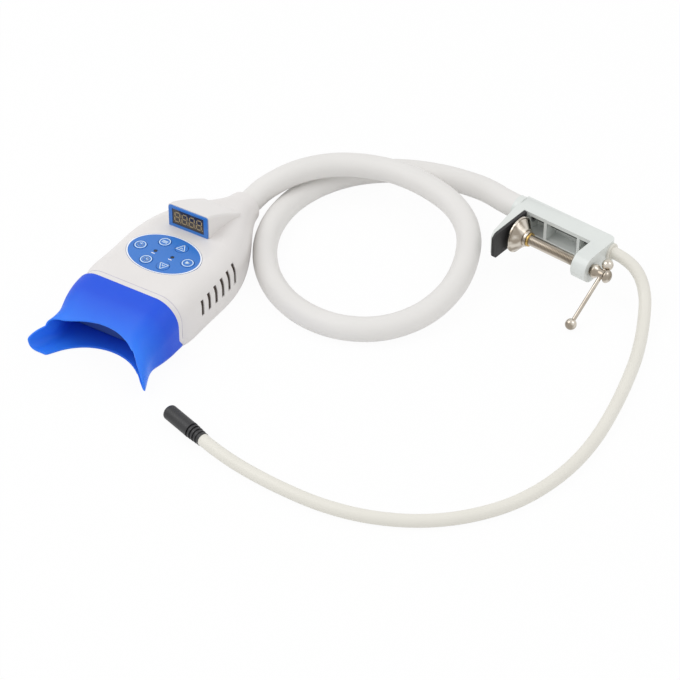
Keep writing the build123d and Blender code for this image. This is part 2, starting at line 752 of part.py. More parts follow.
# Front of the head: bezel, lens, light, heat sink, fan
def front_bezel():
    band = section(SEAM_Y, HEAD_HALF, 0.0, HEAD_TALL, TOP_R, BASE_R)
    band = extrude(band, amount=SEAM_Y - RIM_Y)
    band -= tab_zone(SEAM_Y + 1, TAB_LOW + GAP)
    band &= block(-80, 80, RIM_Y, SEAM_Y, 0, HEAD_TALL)
    body = band + skin(NOSE, 0)
    body -= skin([(SEAM_Y + 1,) + NOSE[0][1:], NOSE[1], (NOSE_Y + WALL,) + NOSE[2][1:]], WALL)
    half_w = LENS_W / 2
    half_h = LENS_H / 2
    body -= block(-half_w, half_w, NOSE_Y - 1, NOSE_Y + 5, LIGHT_Z - half_h, LIGHT_Z + half_h)
    rest = LENS_REST
    body -= block(
        -half_w - rest, half_w + rest, NOSE_Y + 1, NOSE_Y + 5, LIGHT_Z - half_h - rest, LIGHT_Z + half_h + rest
    )
    return head(body)


def lens():
    half_w = LENS_W / 2 + LENS_REST
    half_h = LENS_H / 2 + LENS_REST
    return head(block(-half_w, half_w, NOSE_Y + 1, NOSE_Y + 1 + LENS_THICK, LIGHT_Z - half_h, LIGHT_Z + half_h))


def led_board():
    half = LIGHT_W / 2
    return head(block(-half, half, LIGHT_Y, LIGHT_Y + BOARD_THICK, LIGHT_Z - LIGHT_H / 2, LIGHT_Z + LIGHT_H / 2))


def led_emitters():
    leds = []
    for row in range(LED_ROWS):
        for col in range(LED_COLS):
            x = (col - (LED_COLS - 1) / 2) * 8.6
            z = LIGHT_Z + (row - (LED_ROWS - 1) / 2) * 9.0
            base = block(
                x - LED_SIZE / 2, x + LED_SIZE / 2, LIGHT_Y - LED_THICK, LIGHT_Y, z - LED_SIZE / 2, z + LED_SIZE / 2
            )
            leds.append(head(base))
    return group(leds)


def heat_sink():
    half = LIGHT_W / 2 - 2
    back = LIGHT_Y + BOARD_THICK
    low = LIGHT_Z - 14.0
    high = LIGHT_Z + 12.0
    body = block(-half, half, back, back + SINK_BASE, low, high)
    pitch = (2 * half - FIN_THICK) / (FIN_COUNT - 1)
    for i in range(FIN_COUNT):
        x = -half + i * pitch
        body += block(x, x + FIN_THICK, back, back + SINK_DEPTH, low, high)
    return head(body)


def fan_frame():
    half = FAN_SIZE / 2
    body = block(-half, half, FAN_Y, FAN_Y + FAN_THICK, LIGHT_Z - half, LIGHT_Z + half)
    body -= along_y(half - 1, FAN_Y - 1, FAN_Y + FAN_THICK + 1, 0, LIGHT_Z)
    back = FAN_Y + FAN_THICK
    strut = block(-half + 0.5, half - 0.5, back - 1.2, back, LIGHT_Z - 1, LIGHT_Z + 1)
    body += strut
    body += Pos(0, 0, LIGHT_Z) * Rot(0, 90, 0) * Pos(0, 0, -LIGHT_Z) * strut
    body += along_y(FAN_HUB / 2, back - 1.2, back, 0, LIGHT_Z)
    body -= along_y(1.0 + FIT, FAN_Y - 1, back + 1, 0, LIGHT_Z)
    return head(body)


def fan_rotor():
    front = FAN_Y + 0.6
    rear = FAN_Y + FAN_THICK - 1.8
    body = along_y(FAN_HUB / 2, front, rear, 0, LIGHT_Z)
    blade = block(0, FAN_SIZE / 2 - 2, -0.4, 0.4, -2.6, 2.6)
    for i in range(FAN_BLADES):
        turn = i * 360 / FAN_BLADES
        place = Pos(0, (front + rear) / 2, LIGHT_Z) * Rot(0, turn, 0) * Rot(35, 0, 0)
        body += place * blade
    body += along_y(1.0, rear - 1, FAN_Y + FAN_THICK - 0.1, 0, LIGHT_Z)
    return head(body)


# Keys, board and display
def membrane_panel():
    plate = panel_plate(0, HEAD_TALL - PANEL_THICK, HEAD_TALL)
    for hole in top_holes():
        plate -= hole
    return head(plate)


def key_cap(x, y):
    top = HEAD_TALL + KEY_PROUD
    cap = upright(KEY_D / 2, top - KEY_THICK, top, x, y)
    cap = fillet(cap.edges().filter_by(GeomType.CIRCLE).sort_by(Axis.Z)[-1], 0.25)
    cap += upright(STEM_D / 2, BOARD_TOP + SWITCH_TALL + KEY_TRAVEL + 0.05, top - KEY_THICK + 0.1, x, y)
    return head(cap)


def panel_leds():
    return group([head(upright(LAMP_D / 2, BOARD_TOP, HEAD_TALL - 0.1, x, y)) for x, y in lamp_places()])


def tact_switches():
    half = SWITCH_SIZE / 2
    switches = []
    for x, y in key_places().values():
        switches.append(head(block(x - half, x + half, y - half, y + half, BOARD_TOP, BOARD_TOP + SWITCH_TALL)))
    return group(switches)


def control_board():
    body = block(-BOARD_HALF, BOARD_HALF, BOARD_FRONT, BOARD_BACK, BOARD_Z, BOARD_TOP)
    for x, y in BOARD_SCREWS:
        body -= upright(SCREW_SHANK / 2, BOARD_Z - 1, BOARD_TOP + 1, x, y)
    body += block(-5, 5, BOARD_BACK - 6, BOARD_BACK, NECK_Z - 4, BOARD_Z)
    return head(body)


def display_module():
    low = HEAD_TALL + 1.6
    body = block(-MODULE_W / 2, MODULE_W / 2, HOOD_Y, HOOD_Y + MODULE_THICK, low, low + MODULE_H)
    body += block(-10, 10, HOOD_Y + 2, HOOD_Y + 3.6, BOARD_TOP, low)
    return head(body)


def display_window():
    low = HEAD_TALL + (HOOD_TALL - WINDOW_H) / 2
    return head(block(-WINDOW_W / 2, WINDOW_W / 2, HOOD_Y - 0.8, HOOD_Y, low, low + WINDOW_H))


def display_frame():
    foot = HEAD_TALL + 0.15
    half_w = HOOD_W / 2 - FRAME_EDGE
    plate = block(-half_w, half_w, HOOD_Y - FRAME_THICK, HOOD_Y, foot, HEAD_TALL + HOOD_TALL - FRAME_EDGE)
    top = [e for e in plate.edges().filter_by(Axis.Y) if e.center().Z > HEAD_TALL + 1]
    plate = fillet(top, HOOD_R - FRAME_EDGE)
    low = HEAD_TALL + (HOOD_TALL - WINDOW_H) / 2
    half = WINDOW_W / 2
    return head(plate - block(-half, half, HOOD_Y - 5, HOOD_Y + 1, low, low + WINDOW_H))


# Neck of the head
def neck_collar():
    body = along_y(NECK_R, NECK_Y, NECK_OUT, 0, NECK_Z)
    body = fillet(body.edges().filter_by(GeomType.CIRCLE).sort_by(Axis.Y)[-1], 1.0)
    body += along_y(NECK_R - WALL - GAP, NECK_Y - SPIGOT_LEN, NECK_Y, 0, NECK_Z)
    return head(body - along_y(FERRULE_D / 2, NECK_Y - 20, NECK_OUT + 1, 0, NECK_Z))


def neck_ferrule():
    inner = NECK_Y - SPIGOT_LEN - NUT_THICK - 1
    body = along_y(FERRULE_D / 2, inner, NECK_OUT, 0, NECK_Z)
    return head(body - along_y(FERRULE_BORE / 2, inner - 1, NECK_OUT + 1, 0, NECK_Z))


def neck_nut():
    face = NECK_Y - SPIGOT_LEN
    plane = Plane(origin=(0, face, NECK_Z), x_dir=(1, 0, 0), z_dir=(0, -1, 0))
    nut = extrude(plane * RegularPolygon(NUT_ACROSS / 2, 6, major_radius=False), amount=NUT_THICK)
    return head(nut - along_y(FERRULE_D / 2, face - 10, face + 1, 0, NECK_Z))


def head_lead():
    return head(along_y(LEAD_D / 2, BOARD_BACK, NECK_OUT, 0, NECK_Z))


# Mouth shield: a lofted soft cup, flared to two wings and cut to a hollow mouth edge
def lip_cut():
    rise = (LIP_TOP_R - LIP_BASE_R) / LIP_TALL
    back = (LIP_TOP_Y - LIP_TOP_R - LIP_BASE_Y + LIP_BASE_R) / LIP_TALL
    discs = []
    for z in (-2.0, 45.0):
        centre = LIP_BASE_Y - LIP_BASE_R + back * z
        discs.append(Pos(LIP_SIDE, centre, z) * Circle(LIP_BASE_R + rise * z))
    return loft(discs)


def tab_zone(back, low):
    # A wedge across the head: the tabs run back to the seam at the base and end at the rim above.
    plane = Plane(origin=(-80, 0, 0), x_dir=(0, 1, 0), z_dir=(1, 0, 0))
    corners = Polyline((RIM_Y, -5), (back, -5), (back, low), (RIM_Y, low + TAB_Z), close=True)
    return extrude(plane * make_face(corners), amount=160)


def shield_tabs(inset):
    rim = SHIELD[0]
    face = section(rim[0], rim[1] - inset, rim[2] + inset, rim[3] - inset, rim[4] - inset, rim[5] - inset)
    body = extrude(face, amount=-(SEAM_Y - RIM_Y) + GAP)
    return body & tab_zone(SEAM_Y - GAP, TAB_LOW)


def wing_ends():
    # Seen from above the wings' front ends are rounded, and seen from the side they slope back.
    wide = SHIELD[-1][1] + 1
    length = SEAM_Y - WING_Y + 20
    ends = Pos(0, WING_Y + length / 2, -5) * extrude(RectangleRounded(2 * wide, length, WING_R), amount=60)
    plane = Plane(origin=(-wide, 0, 0), x_dir=(0, 1, 0), z_dir=(1, 0, 0))
    middle_y = WING_Y + (SLOPE_Y - WING_Y) * 0.32
    middle_z = WING_LOW + (SLOPE_TOP - WING_LOW) * 0.57
    front = [
        ThreePointArc((WING_Y - 1, WING_LOW), (middle_y, middle_z), (SLOPE_Y, SLOPE_TOP)),
        Line((SLOPE_Y, SLOPE_TOP), (SLOPE_Y, SLOPE_TOP + 30)),
        Line((SLOPE_Y, SLOPE_TOP + 30), (WING_Y - 1, SLOPE_TOP + 30)),
        Line((WING_Y - 1, SLOPE_TOP + 30), (WING_Y - 1, WING_LOW)),
    ]
    return ends - extrude(plane * make_face(front), amount=2 * wide)


def mouth_shield():
    body = skin(SHIELD, 0) - skin(SHIELD, SHIELD_WALL)
    body += shield_tabs(0) - shield_tabs(SHIELD_WALL)
    return head((body - lip_cut()) & wing_ends())


def main():
    os.makedirs("parts", exist_ok=True)
    clamp = {
        "clamp_frame": clamp_frame(),
        "jaw_pad": jaw_pad(),
        "base_ferrule": base_ferrule(),
        "set_screw": set_screw(),
        "clamp_lead": clamp_lead(),
        "cable_grommet": cable_grommet(),
        "pad_cup": pad_cup(),
        "clamp_screw": clamp_screw(),
        "screw_collar": screw_collar(),
        "handle_bar": handle_bar(),
        "handle_balls": handle_balls(),
    }
    plug = {
        "plug_strain_relief": plug_strain_relief(),
        "plug_body": plug_body(),
        "plug_sleeve": plug_sleeve(),
        "plug_pin": plug_pin(),
    }
    shell = housing()
    lamp = {
        "upper_shell": upper_shell(shell),
        "lower_shell": lower_shell(shell),
        "shell_screws": shell_screws(),
        "front_bezel": front_bezel(),
        "lens": lens(),
        "led_board": led_board(),
        "led_emitters": led_emitters(),
        "heat_sink": heat_sink(),
        "fan_frame": fan_frame(),
        "fan_rotor": fan_rotor(),
        "control_board": control_board(),
        "board_screws": board_screws(),
        "tact_switches": tact_switches(),
        "membrane_panel": membrane_panel(),
        "panel_leds": panel_leds(),
        "display_module": display_module(),
        "display_window": display_window(),
        "display_frame": display_frame(),
        "neck_collar": neck_collar(),
        "neck_ferrule": neck_ferrule(),
        "neck_nut": neck_nut(),
        "head_lead": head_lead(),
        "mouth_shield": mouth_shield(),
    }
    keys = {name: key_cap(x, y) for name, (x, y) in key_places().items()}
    for pieces in (clamp, arm_pieces(), cable_pieces(), plug, lamp, keys):
        for name, shape in pieces.items():
            save(shape, name)


main()
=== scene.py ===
import math

import bmesh
import bpy
from mathutils import Matrix, Vector


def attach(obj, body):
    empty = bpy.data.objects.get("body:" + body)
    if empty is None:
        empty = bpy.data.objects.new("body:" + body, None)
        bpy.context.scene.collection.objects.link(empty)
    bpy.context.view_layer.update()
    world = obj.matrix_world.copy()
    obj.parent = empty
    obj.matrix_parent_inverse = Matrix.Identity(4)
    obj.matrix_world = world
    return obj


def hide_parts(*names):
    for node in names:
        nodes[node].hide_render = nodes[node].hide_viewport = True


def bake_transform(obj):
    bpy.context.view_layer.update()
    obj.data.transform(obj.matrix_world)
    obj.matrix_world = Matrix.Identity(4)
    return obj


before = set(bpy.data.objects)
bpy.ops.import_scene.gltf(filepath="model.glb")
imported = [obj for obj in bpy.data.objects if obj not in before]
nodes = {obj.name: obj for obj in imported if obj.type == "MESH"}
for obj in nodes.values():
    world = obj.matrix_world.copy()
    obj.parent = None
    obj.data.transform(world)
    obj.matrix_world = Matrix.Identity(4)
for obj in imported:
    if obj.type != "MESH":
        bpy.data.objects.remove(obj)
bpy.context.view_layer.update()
mm = 0.001
tableHeight = -27.5 * mm
print("model loaded:", len(nodes), "pieces")

# the lamp head's own place: x to its right, y from mouth to neck, z up from the table
head = {"place": (-0.166, -0.1908, tableHeight), "yaw": 7.5}
headPlace = Matrix.Translation(head["place"]) @ Matrix.Rotation(math.radians(head["yaw"]), 4, "Z")
headPlaceInMm = headPlace @ Matrix.Diagonal((mm, mm, mm, 1))

# camera

camera = {
    "place": (0.91159, -1.30306, 1.20649),
    "looking": (-0.49081, 0.59540, -0.63608),
    "viewAngle": 14.0,
    "farthest": 50,
}


def makeCamera():
    data = bpy.data.cameras.new("camera")
    data.sensor_fit = "HORIZONTAL"
    data.angle = math.radians(camera["viewAngle"])
    data.clip_end = camera["farthest"]
    obj = bpy.data.objects.new("camera", data)
    bpy.context.scene.collection.objects.link(obj)
    obj.location = camera["place"]
    obj.rotation_euler = Vector(camera["looking"]).to_track_quat("-Z", "Y").to_euler()
    bpy.context.scene.camera = obj


makeCamera()
print("camera placed")

# node helpers for materials


def newMaterial(name):
    mat = bpy.data.materials.new(name)
    mat.use_nodes = True
    shader = mat.node_tree.nodes["Principled BSDF"]
    return mat, mat.node_tree, shader


def objectPlace(tree, stretch=(1, 1, 1)):
    coords = tree.nodes.new("ShaderNodeTexCoord")
    mapping = tree.nodes.new("ShaderNodeMapping")
    mapping.inputs["Scale"].default_value = stretch
    tree.links.new(coords.outputs["Object"], mapping.inputs["Vector"])
    return mapping.outputs["Vector"]


def noise(tree, place, scale, detail=3.0):
    tex = tree.nodes.new("ShaderNodeTexNoise")
    tex.inputs["Scale"].default_value = scale
    tex.inputs["Detail"].default_value = detail
    tex.inputs["Roughness"].default_value = 0.5
    tree.links.new(place, tex.inputs["Vector"])
    return tex.outputs["Fac"]


def spread(tree, value, low, high, fromLow=0.3, fromHigh=0.7):
    ranged = tree.nodes.new("ShaderNodeMapRange")
    ranged.inputs["From Min"].default_value = fromLow
    ranged.inputs["From Max"].default_value = fromHigh
    ranged.inputs["To Min"].default_value = low
    ranged.inputs["To Max"].default_value = high
    tree.links.new(value, ranged.inputs["Value"])
    return ranged.outputs["Result"]


def blendColors(tree, value, first, second):
    mix = tree.nodes.new("ShaderNodeMix")
    mix.data_type = "RGBA"
    mix.inputs[6].default_value = (*first, 1)
    mix.inputs[7].default_value = (*second, 1)
    tree.links.new(value, mix.inputs[0])
    return mix.outputs[2]


def mathNode(tree, operation, first, second):
    node = tree.nodes.new("ShaderNodeMath")
    node.operation = operation
    for socket, value in zip(node.inputs, (first, second)):
        if isinstance(value, float):
            socket.default_value = value
        else:
            tree.links.new(value, socket)
    return node


def addBump(tree, shader, value, strength, distance):
    bump = tree.nodes.new("ShaderNodeBump")
    bump.inputs["Strength"].default_value = strength
    bump.inputs["Distance"].default_value = distance
    tree.links.new(value, bump.inputs["Height"])
    tree.links.new(bump.outputs["Normal"], shader.inputs["Normal"])


moulded = {"roughLess": 0.05, "roughMore": 0.07, "bump": 0.25, "coatRoughness": 0.12}
metal = {
    "roughLess": 0.05,
    "roughMore": 0.10,
    "bump": 0.15,
    "streakDepth": 0.00002,
    "streaks": 900,
    "patches": 60,
    "bandStretch": (0.10, 1, 1),         # bands are this much longer along the screw than across it
    "bandEdges": (0.38, 0.60),           # the part of the noise that a band's edge takes up
}


def mouldedFinish(name, color, shade, roughness, patch=30, grain=1400, grainDepth=0.00003, coat=0.0):
    # moulded plastic, rubber or paint: faint uneven colour and a fine grain
    mat, tree, shader = newMaterial(name)
    place = objectPlace(tree)
    cloud = spread(tree, noise(tree, place, patch), 0.0, 1.0)
    tree.links.new(blendColors(tree, cloud, color, shade), shader.inputs["Base Color"])
    grainValue = noise(tree, place, grain, 2.0)
    low, high = roughness - moulded["roughLess"], roughness + moulded["roughMore"]
    tree.links.new(spread(tree, grainValue, low, high), shader.inputs["Roughness"])
    addBump(tree, shader, grainValue, moulded["bump"], grainDepth)
    if coat:
        shader.inputs["Coat Weight"].default_value = coat
        shader.inputs["Coat Roughness"].default_value = moulded["coatRoughness"]
    return mat


def metalFinish(name, color, shade, roughness, stretch=(1, 1, 1), paintedReflectionBands=0):
    # plated or turned metal: uneven colour (with painted reflection bands when these are asked for) and
    # fine streaks across one direction
    mat, tree, shader = newMaterial(name)
    shader.inputs["Metallic"].default_value = 1.0
    if paintedReflectionBands:
        # painted reflections: dark and light bands along the screw stand in for a room's reflections
        paintedReflection = noise(tree, objectPlace(tree, metal["bandStretch"]), paintedReflectionBands, 1.0)
        cloud = spread(tree, paintedReflection, 0.0, 1.0, *metal["bandEdges"])
    else:
        cloud = spread(tree, noise(tree, objectPlace(tree), metal["patches"], 4.0), 0.0, 1.0)
    tree.links.new(blendColors(tree, cloud, color, shade), shader.inputs["Base Color"])
    streak = noise(tree, objectPlace(tree, stretch), metal["streaks"], 2.0)
    low, high = roughness - metal["roughLess"], roughness + metal["roughMore"]
    tree.links.new(spread(tree, streak, low, high), shader.inputs["Roughness"])
    addBump(tree, shader, streak, metal["bump"], metal["streakDepth"])
    return mat


finishes = {
    "housing": mouldedFinish("housingPlastic", (0.78, 0.755, 0.74), (0.755, 0.73, 0.715), 0.42, coat=0.15),
    "casting": mouldedFinish("castingPaint", (0.735, 0.765, 0.74), (0.70, 0.73, 0.71), 0.33,
                             grain=700, grainDepth=0.00006, coat=0.3),
    "sleeve": mouldedFinish("armSleeve", (0.775, 0.76, 0.74), (0.75, 0.735, 0.715), 0.5,
                            patch=14, grain=1100),
    "cable": mouldedFinish("cableSheath", (0.785, 0.765, 0.70), (0.76, 0.74, 0.675), 0.45,
                           patch=20, grain=1200),
    "blackRubber": mouldedFinish("jawRubber", (0.018, 0.018, 0.019), (0.028, 0.027, 0.027), 0.62,
                                 grain=500, grainDepth=0.00012),
    "connector": mouldedFinish("connectorPlastic", (0.014, 0.014, 0.016), (0.022, 0.022, 0.024), 0.42,
                               grain=900),
    "film": mouldedFinish("keyFilm", (0.020, 0.165, 0.57), (0.023, 0.180, 0.61), 0.36,
                          grain=1700, grainDepth=0.00002, coat=0.25),
    "print": mouldedFinish("printedLines", (0.72, 0.87, 0.98), (0.68, 0.84, 0.97), 0.45),
    # white for the printed lamp marks and for the painted highlight on the oval's rim
    "whitePrintAndRimHighlight": mouldedFinish("printAndRimHighlight", (0.90, 0.93, 0.98), (0.88, 0.91, 0.97), 0.45),
    "darkPlastic": mouldedFinish("darkPlastic", (0.020, 0.020, 0.021), (0.028, 0.028, 0.029), 0.5),
    # painted shade: the dark colour of the strips in the vent slots
    "ventPaintedShade": mouldedFinish("paintedVentShade", (0.030, 0.016, 0.011), (0.042, 0.023, 0.016), 0.7),
    "seam": mouldedFinish("seamShade", (0.54, 0.51, 0.62), (0.50, 0.475, 0.58), 0.5),
    "board": mouldedFinish("circuitBoard", (0.020, 0.13, 0.05), (0.03, 0.17, 0.07), 0.4),
    "segment": mouldedFinish("displaySegment", (0.36, 0.27, 0.14), (0.42, 0.32, 0.18), 0.45),
    "emitter": mouldedFinish("lightEmitter", (0.75, 0.78, 0.55), (0.82, 0.84, 0.62), 0.25, coat=0.5),
    # the nickel's darker colour is the dark of its painted reflection bands
    "nickel": metalFinish("nickelPlate", (0.64, 0.59, 0.52), (0.33, 0.285, 0.23), 0.13,
                          stretch=(1, 8, 8), paintedReflectionBands=200),
    "barNickel": metalFinish("barPlate", (0.60, 0.55, 0.48), (0.46, 0.41, 0.35), 0.14, stretch=(1, 8, 8)),
    "brass": metalFinish("turnedBrass", (0.58, 0.40, 0.14), (0.46, 0.31, 0.10), 0.18, stretch=(1, 8, 8)),
    "steel": metalFinish("plainSteel", (0.52, 0.52, 0.52), (0.44, 0.44, 0.44), 0.34),
    "aluminium": metalFinish("extrudedAluminium", (0.66, 0.67, 0.68), (0.60, 0.61, 0.62), 0.36,
                             stretch=(1, 1, 12)),
}


glass = {"smears": 220, "smearRoughness": 0.06, "coat": 0.6}


def glassFinish(name, color, roughness, alpha):
    mat, tree, shader = newMaterial(name)
    smear = noise(tree, objectPlace(tree), glass["smears"])
    most = roughness + glass["smearRoughness"]
    tree.links.new(spread(tree, smear, roughness, most), shader.inputs["Roughness"])
    shader.inputs["Base Color"].default_value = (*color, 1)
    shader.inputs["Alpha"].default_value = alpha
    shader.inputs["Coat Weight"].default_value = glass["coat"]
    return mat


# the lens is clear glass; its blue colour is painted light from the blue silicone round it
finishes["lens"] = glassFinish("clearLens", (0.10, 0.20, 0.52), 0.08, 0.72)
finishes["window"] = glassFinish("smokedWindow", (0.020, 0.012, 0.012), 0.07, 0.96)


silicone = {
    "thick": (0.014, 0.090, 0.72),
    # painted light: this lighter blue stands in for light shining through the thin wings
    "thin": (0.026, 0.200, 0.92),
    "patches": 18,
    "patchiness": 0.06,
    "grain": 1300,
    "grainDepth": 0.00003,
    "bump": 0.2,
    "roughness": (0.42, 0.54),
    "specular": 0.28,
    "subsurface": 0.2,
    "subsurfaceReach": (0.001, 0.004, 0.010),
    "subsurfaceScale": 0.5,
}


def siliconeFinish():
    # soft blue silicone: deep where it is thick, lighter towards its thin wings, where the lighter blue is
    # painted light shining through the thin silicone
    s = silicone
    mat, tree, shader = newMaterial("blueSilicone")
    place = objectPlace(tree)
    thin = tree.nodes.new("ShaderNodeAttribute")
    thin.attribute_name = "thinnessAndLightThrough"
    cloud = spread(tree, noise(tree, place, s["patches"], 2.0), -s["patchiness"], s["patchiness"])
    mixed = mathNode(tree, "ADD", thin.outputs["Fac"], cloud)
    mixed.use_clamp = True
    color = blendColors(tree, mixed.outputs[0], s["thick"], s["thin"])
    tree.links.new(color, shader.inputs["Base Color"])
    grainValue = noise(tree, place, s["grain"], 2.0)
    tree.links.new(spread(tree, grainValue, *s["roughness"]), shader.inputs["Roughness"])
    addBump(tree, shader, grainValue, s["bump"], s["grainDepth"])
    shader.inputs["Specular IOR Level"].default_value = s["specular"]
    shader.inputs["Subsurface Weight"].default_value = s["subsurface"]
    shader.inputs["Subsurface Radius"].default_value = s["subsurfaceReach"]
    shader.inputs["Subsurface Scale"].default_value = s["subsurfaceScale"]
    return mat


finishes["silicone"] = siliconeFinish()


bezel = {
    "ring": (-57.2 * mm, -57.6 * mm),    # the painted blue light from the silicone begins and is full at these places along the head
    # painted light: the blue cast from the silicone, laid over the bezel's white front
    "blue": (0.045, 0.10, 0.34),
}


def bezelFinish():
    # housing plastic, with a front ring round the lens painted blue, as painted light from the blue
    # silicone
    mat = finishes["housing"].copy()
    mat.name = "bezelPlastic"
    tree = mat.node_tree
    shader = tree.nodes["Principled BSDF"]
    plain = shader.inputs["Base Color"].links[0].from_socket
    forward = headPlace.to_3x3() @ Vector((0, 1, 0))
    coords = tree.nodes.new("ShaderNodeTexCoord")
    along = tree.nodes.new("ShaderNodeVectorMath")
    along.operation = "DOT_PRODUCT"
    along.inputs[1].default_value = forward
    tree.links.new(coords.outputs["Object"], along.inputs[0])
    start = forward.dot(headPlace.translation)
    begin, full = [start + place for place in bezel["ring"]]
    inPaintedLightRing = spread(tree, along.outputs["Value"], 0.0, 1.0, begin, full)
    paintedBlueLight = blendColors(tree, inPaintedLightRing, bezel["blue"], bezel["blue"])
    # the first colour is the plain plastic's own
    tree.links.new(plain, paintedBlueLight.node.inputs[6])
    tree.links.new(paintedBlueLight, shader.inputs["Base Color"])
    return mat


finishes["bezel"] = bezelFinish()

nodeFinish = {
    "clamp_frame": "casting", "jaw_pad": "blackRubber", "base_ferrule": "steel", "set_screw": "steel",
    "clamp_lead": "darkPlastic", "cable_grommet": "cable", "plug_strain_relief": "connector",
    "plug_body": "connector", "plug_sleeve": "brass", "plug_pin": "brass", "pad_cup": "nickel",
    "clamp_screw": "nickel", "screw_collar": "brass", "handle_bar": "barNickel", "handle_balls": "nickel",
    "arm_core": "steel", "upper_shell": "housing", "lower_shell": "housing", "shell_screws": "steel",
    "front_bezel": "bezel", "lens": "lens", "led_board": "board", "led_emitters": "emitter",
    "heat_sink": "aluminium", "fan_frame": "darkPlastic", "fan_rotor": "darkPlastic",
    "control_board": "board", "board_screws": "steel", "tact_switches": "darkPlastic",
    "membrane_panel": "film", "panel_leds": "darkPlastic", "display_module": "darkPlastic",
    "display_window": "window", "display_frame": "film", "neck_collar": "housing",
    "neck_ferrule": "steel", "neck_nut": "steel", "head_lead": "darkPlastic",
    "key_power": "film", "key_start": "film", "key_mode": "film", "key_timer": "film",
    "key_up": "film", "key_down": "film",
}


def dressNodes():
    for name, finish in nodeFinish.items():
        data = nodes[name].data
        data.materials.clear()
        data.materials.append(finishes[finish])
        data.polygons.foreach_set("use_smooth", [True] * len(data.polygons))


dressNodes()
print("materials made and model dressed")

# mesh helpers


def addPiece(name, mesh, body, finish):
    obj = bpy.data.objects.new(name, mesh)
    bpy.context.scene.collection.objects.link(obj)
    mesh.materials.clear()
    mesh.materials.append(finishes[finish])
    if body:
        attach(obj, body)
    return obj


def meshFrom(bm, name, place=None, sharpAngle=35):
    bmesh.ops.remove_doubles(bm, verts=bm.verts, dist=1e-6)
    bmesh.ops.recalc_face_normals(bm, faces=bm.faces)
    if place is not None:
        bmesh.ops.transform(bm, matrix=place, verts=bm.verts)
    mesh = bpy.data.meshes.new(name)
    bm.to_mesh(mesh)
    bm.free()
    mesh.polygons.foreach_set("use_smooth", [True] * len(mesh.polygons))
    mesh.set_sharp_from_angle(angle=math.radians(sharpAngle))
    return mesh


def profileLine(bm, points):
    verts = [bm.verts.new(point) for point in points]
    return verts, [bm.edges.new(pair) for pair in zip(verts, verts[1:])]


def addStrip(bm, points, wide):
    # a strip as wide as this along y, whose edge follows the points
    edges = profileLine(bm, points)[1]
    made = bmesh.ops.extrude_edge_only(bm, edges=edges)["geom"]
    moved = [g for g in made if isinstance(g, bmesh.types.BMVert)]
    bmesh.ops.translate(bm, verts=moved, vec=(0, wide, 0))


def addWall(obj, thickness, offset):
    wall = obj.modifiers.new("wall", "SOLIDIFY")
    wall.thickness = thickness
    wall.offset = offset
    return wall


def addRounding(obj, name, width, segments, angle):
    rounding = obj.modifiers.new(name, "BEVEL")
    rounding.width = width
    rounding.segments = segments
    rounding.limit_method = "ANGLE"
    rounding.angle_limit = math.radians(angle)
    return rounding


def routeLine(points, name):
    # the route's smooth line: a spline with the points as its control points
    curve = bpy.data.curves.new(name, "CURVE")
    curve.dimensions = "3D"
    curve.resolution_u = 12
    spline = curve.splines.new("NURBS")
    spline.points.add(len(points) - 1)
    for point, at in zip(spline.points, points):
        point.co = (*at, 1)
    spline.order_u = 3
    spline.use_endpoint_u = True
    return curve


tubeSmoothness = 8

# power cable, lying on the table in a wide sweep

powerCable = {
    "diameter": 9.0 * mm,
    "route": [
        (69.6, 23.5, 2.0), (80.6, 23.5, 2.0), (94.5, 21.8, -3.9), (106.0, 13.6, -13.5),
        (116.0, -2.2, -20.5), (126.0, -20.5, -22.9), (137.0, -44.0, -23.0), (151.5, -85.0, -22.9),
        (162.5, -127.0, -23.0), (165.5, -167.0, -22.9), (159.0, -206.0, -23.0), (142.5, -238.0, -22.9),
        (120.5, -262.0, -23.0), (92.5, -280.0, -22.9), (62.0, -290.5, -23.0), (31.0, -294.8, -22.9),
        (-1.0, -296.2, -22.8), (-26.5, -294.9, -21.9), (-40.3, -292.3, -21.9),
    ],
    "length": 0.508,
}


def makePowerCable():
    points = [Vector(p) * mm for p in powerCable["route"]]
    curve = routeLine(points, "powerCable")
    curve.bevel_depth = powerCable["diameter"] / 2
    curve.bevel_resolution = tubeSmoothness
    curve.use_fill_caps = True
    obj = bpy.data.objects.new("powerCableSheath", curve)
    bpy.context.scene.collection.objects.link(obj)
    curve.materials.append(finishes["cable"])
    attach(obj, "clamp")
    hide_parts("cable_start", "power_cable")


makePowerCable()
print("power cable laid")

# gooseneck arm: one smooth line, cut where its stretches meet

gooseneck = {
    "diameter": 18.0 * mm,
    "route": [
        (-14.5, 23.5, 2.0), (-25.5, 23.5, 2.0), (-45.0, 30.5, -2.0), (-67.0, 36.0, -8.5),
        (-97.0, 37.0, -15.0), (-127.0, 26.5, -18.2), (-150.0, 4.0, -18.5), (-162.5, -26.0, -18.4),
        (-164.5, -58.0, -18.5), (-155.5, -90.0, -18.4), (-138.0, -117.0, -18.5), (-112.0, -139.0, -18.4),
        (-80.0, -151.0, -18.5), (-46.0, -149.0, -18.4), (-18.0, -131.0, -17.9), (-3.5, -102.0, -16.0),
        (-2.5, -70.0, -13.0), (-12.0, -40.0, -9.5), (-29.0, -14.0, -5.5), (-53.0, 0.5, -1.7),
        (-81.0, 4.5, 0.5), (-109.0, 3.0, 1.3), (-134.0, -6.5, 1.5), (-154.0, -22.0, 1.7),
        (-168.5, -45.0, 1.1), (-178.6, -67.5, -5.5),
    ],
    "neckTip": (0.0, 112.0, 16.8),
    "neckEnd": (0.0, 103.0, 16.8),
    "baseRuns": 2,                       # runs in the stretch that flexes by the clamp
    "neckRunsBack": (4, 3, 2),           # runs from the end where the stretches at the head are cut
}


